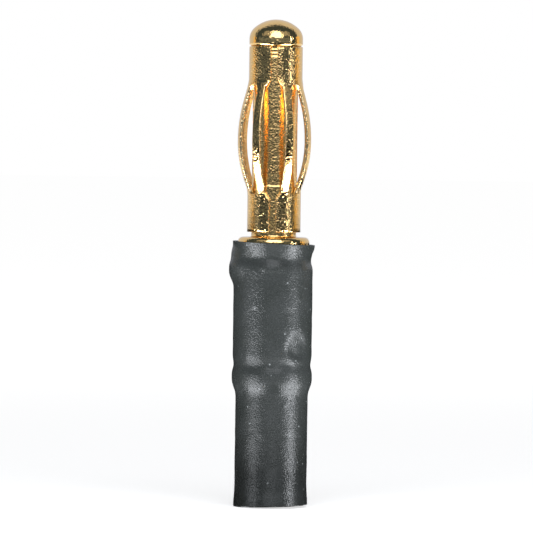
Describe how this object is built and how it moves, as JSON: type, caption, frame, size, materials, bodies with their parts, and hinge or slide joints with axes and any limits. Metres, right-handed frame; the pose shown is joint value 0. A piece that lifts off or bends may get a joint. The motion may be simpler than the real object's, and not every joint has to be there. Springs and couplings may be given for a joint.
{
  "type": "battery lead connector",
  "caption": "Gold-plated bullet adapter: a sprung leaf plug on one end and a plain socket on the other, soldered together under a black shrunk sleeve.",
  "frame": {"origin": "on the common axis, at the sleeve's cut end that the adapter stands on", "axes": "+Z along the common axis towards the plug's domed nose; -Y is the front, which shows the open seam of the spring cage; the solder lump under the sleeve is at -X"},
  "size_m": [0.005, 0.0048, 0.0296],
  "materials": {
    "gold_turned": "polished gold plate on turned brass",
    "gold_sheet": "polished gold plate with a fine grain on spring sheet",
    "solder": "dull solder",
    "sleeve": "satin black shrink tube"
  },
  "bodies": {
    "root": {"pin_core": "gold_turned", "spring_cage": "gold_sheet", "socket": "gold_turned", "solder_joint": "solder", "heat_shrink": "sleeve"}
  },
  "joints": []
}
